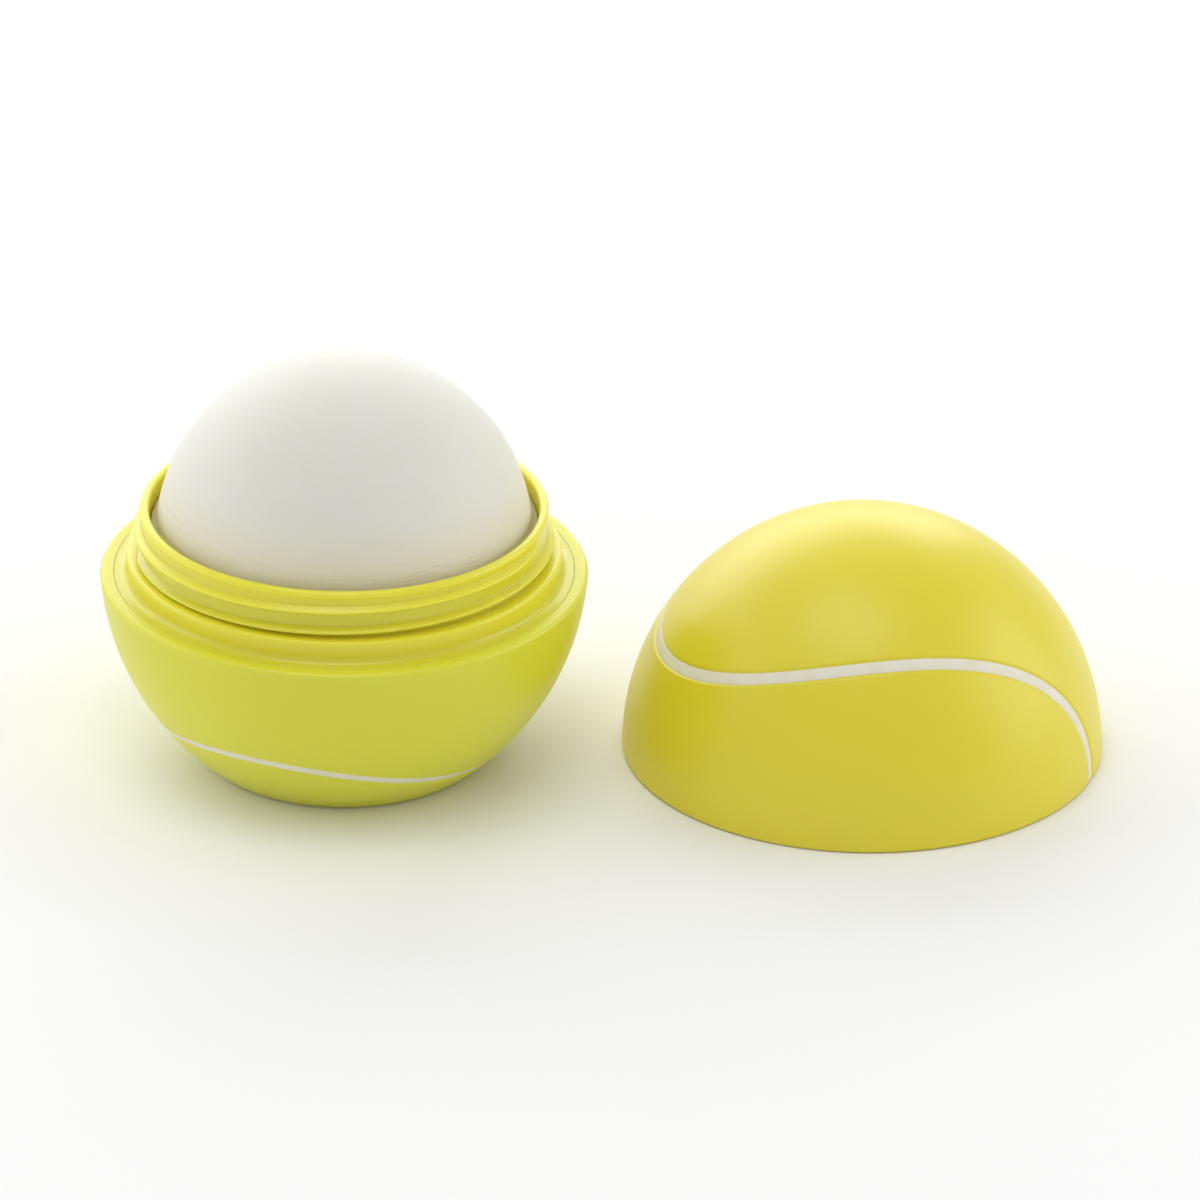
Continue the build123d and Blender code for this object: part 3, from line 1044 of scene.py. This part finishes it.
@dataclass
class Cap:
    """Upper half, off the base: shell, seam line and threaded liner."""

    base: Base
    reveal: float = 0.17
    arc_inset: float = 0.62
    wall: float = 0.9
    rim_round: float = 0.3
    liner_gap: float = 0.05
    liner_wall: float = 0.7
    liner_lift: float = 0.2
    liner_round: float = 0.2
    thread_clearance: float = 0.25
    thread_margin: float = 0.5
    seam_turn: float = 10.4
    seam_start: float = -135.0
    steps: int = 260
    row: float = 0.5             # spacing of the outer skin's rows, in mm
    hidden_row: float = 1.2
    thread_row: float = 0.07
    meridian: Meridian = field(init=False)

    def __post_init__(self) -> None:
        """Take the cap's place from the frame."""
        low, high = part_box("cap_liner")
        middle = (low.x + high.x) / 2 / MM
        self.meridian = Meridian(self.base.rim - self.reveal, self.arc_inset, 0.0, 0.0, middle)

    @property
    def seam(self) -> Seam:
        """The ball's seam on the cap."""
        return Seam(self.meridian, self.seam_turn, self.seam_start)

    def shell(self) -> bpy.types.Object:
        """Model the cap's outer shell with its groove.

        Returns:
            The new piece.
        """
        half = self.meridian
        inner_rim = half.radius_at(0.0, self.wall)
        round_ = self.rim_round
        apex, foot = half.apex_angle(self.wall), half.angle_at(round_, self.wall)
        outline = half.along(self.wall, apex, foot, self.hidden_row)
        outline[0] = (0.0, outline[0][1])
        outline += arc((inner_rim + round_, round_), round_, 180, 270, 5)
        outline += run((inner_rim + round_ + 0.05, 0.0), (half.rim - round_ - 0.05, 0.0), 0.3)
        outline += arc((half.rim - round_, round_), round_, 270, 360, 6)
        outline += half.along(0.0, half.angle_at(round_ + 0.15), half.apex_angle(), self.row)
        outline[-1] = (0.0, outline[-1][1])
        piece = lathe("cap_outer_shell", outline, self.steps, half.centre_x)
        self.seam.press_groove(piece)
        shade(piece)
        return piece

    def seam_line(self) -> bpy.types.Object:
        """Model the painted line of the cap."""
        return self.seam.paint_line("cap_painted_seam", 0.25, self.meridian.radius)

    def liner(self) -> bpy.types.Object:
        """Model the cap's inner dome and skirt with the female thread.

        Returns:
            The new piece.
        """
        half, base = self.meridian, self.base
        foot = base.collar_height + self.liner_lift
        outside = self.wall + self.liner_gap
        bore = base.collar - base.collar_step + self.thread_clearance
        thread_top = base.thread_start + Thread.turns * Thread.pitch
        bore_top = thread_top + self.thread_margin
        dome = outside + self.liner_wall
        outline = half.along(dome, half.apex_angle(dome), half.angle_at(bore_top + 0.1, dome), 0.8)
        outline[0] = (0.0, outline[0][1])
        round_ = self.liner_round
        outline += run((bore, bore_top), (bore, foot + round_), self.thread_row)
        outline += arc((bore + round_, foot + round_), round_, 192, 270, 3)
        outer = half.radius_at(foot, outside)
        outline += run((bore + 0.25, foot), (outer - 0.15, foot), 0.4)
        outline += arc((outer - 0.15, foot + 0.15), 0.15, 270, 350, 3)
        outline += half.along(outside, half.angle_at(foot + 0.3, outside), half.apex_angle(outside), 1.0)
        outline[-1] = (0.0, outline[-1][1])
        piece = lathe("cap_threaded_liner", outline, self.steps, half.centre_x)
        ridge = Thread(bore, -base.thread_depth, base.thread_start + self.thread_clearance, half.centre_x)
        ridge.press(piece, foot + round_, bore_top)
        shade(piece, 50)
        return piece

    def build(self, finishes: Finishes) -> None:
        """Build and dress every piece of the cap.

        Args:
            finishes: Materials for the pieces.
        """
        finish(self.shell(), finishes.yellow, Body.CAP, "cap_shell")
        finish(self.seam_line(), finishes.paint, Body.CAP, "cap_seam_line")
        finish(self.liner(), finishes.inner, Body.CAP, "cap_liner")


# ---------------------------------------------------------------- the studio


@dataclass(frozen=True)
class Softbox:
    """A rectangular softbox: its place and size in mm, and how bright its face is beside white paper."""

    name: str
    place: tuple[float, float, float]
    width: float
    height: float
    glow: float


@dataclass
class Studio:
    """Pale floor, soft lights and the camera."""

    aim: tuple[float, float, float] = (21.49, -0.58, 13.85)   # point that the camera looks at, in mm
    distance: float = 900.0
    azimuth: float = -1.556       # degrees, from behind -Y
    elevation: float = 26.01
    roll: float = 0.6
    lens: float = 321.1
    floor_size: float = 6000.0
    floor_gap: float = 0.03       # between the floor and what stands on it, in mm
    room_light: float = 0.6
    softboxes: tuple[Softbox, ...] = (
        Softbox("back_softbox", (-150, 900, 420), 1300, 700, 2.0),
        Softbox("left_softbox", (-800, 150, 350), 700, 600, 1.25),
        Softbox("right_softbox", (850, 60, 330), 700, 600, 1.6),
        Softbox("overhead_softbox", (-80, -120, 900), 560, 420, 2.2),
    )

    def camera(self) -> None:
        """Set the camera up."""
        turn, tilt, roll = (math.radians(v) for v in (self.azimuth, self.elevation, self.roll))
        back = Vector((math.sin(turn) * math.cos(tilt), -math.cos(turn) * math.cos(tilt), math.sin(tilt)))
        right = Vector((math.cos(turn), math.sin(turn), 0.0))
        up = back.cross(right)
        level_right = right * math.cos(roll) + up * math.sin(roll)
        level_up = up * math.cos(roll) - right * math.sin(roll)
        data = bpy.data.cameras.new("camera")
        data.lens = self.lens
        data.clip_start = 0.05
        data.clip_end = 50.0
        holder = bpy.data.objects.new("camera", data)
        bpy.context.scene.collection.objects.link(holder)
        turned = Matrix((level_right, level_up, back)).transposed().to_4x4()
        turned.translation = (Vector(self.aim) + back * self.distance) * MM
        holder.matrix_world = turned
        bpy.context.scene.camera = holder

    def floor(self) -> None:
        """Lay the pale floor."""
        deselect()
        bpy.ops.mesh.primitive_plane_add(size=self.floor_size * MM, location=(0, 0, -self.floor_gap * MM))
        floor = bpy.context.object
        floor.name = "floor"
        made = bpy.data.materials.new("white_paper_sweep")
        made.use_nodes = True
        skin = made.node_tree.nodes["Principled BSDF"]
        skin.inputs["Base Color"].default_value = srgb("#f4f4f4")
        skin.inputs["Roughness"].default_value = 0.9
        skin.inputs["Specular IOR Level"].default_value = 0.1
        floor.data.materials.append(made)

    def hang(self, box: Softbox) -> None:
        """Hang a softbox that faces the object.

        Args:
            box: The softbox.
        """
        data = bpy.data.lights.new(box.name, "AREA")
        data.shape = "RECTANGLE"
        data.size, data.size_y = box.width * MM, box.height * MM
        data.energy = box.glow * math.pi * data.size * data.size_y
        lamp = bpy.data.objects.new(box.name, data)
        bpy.context.scene.collection.objects.link(lamp)
        away = Vector(box.place) - Vector(self.aim)
        facing = away.to_track_quat("Z", "Y").to_matrix().to_4x4()
        lamp.matrix_world = Matrix.Translation(Vector(box.place) * MM) @ facing

    def world(self) -> None:
        """Fill the room with even white light."""
        room = bpy.data.worlds.new("room")
        room.use_nodes = True
        sky = room.node_tree.nodes["Background"]
        sky.inputs["Color"].default_value = srgb("#ffffff")
        sky.inputs["Strength"].default_value = self.room_light
        bpy.context.scene.world = room

    def build(self) -> None:
        """Set the whole studio up."""
        bpy.context.scene.view_settings.view_transform = "Standard"
        self.floor()
        self.world()
        for box in self.softboxes:
            self.hang(box)
        self.camera()


def main() -> None:
    """Build the holder and its studio."""
    logging.basicConfig(level=logging.INFO, format="%(message)s")
    finishes = Finishes()
    base = Base()
    base.build(finishes)
    Cap(base).build(finishes)
    Studio().build()


if __name__ == "__main__":
    main()
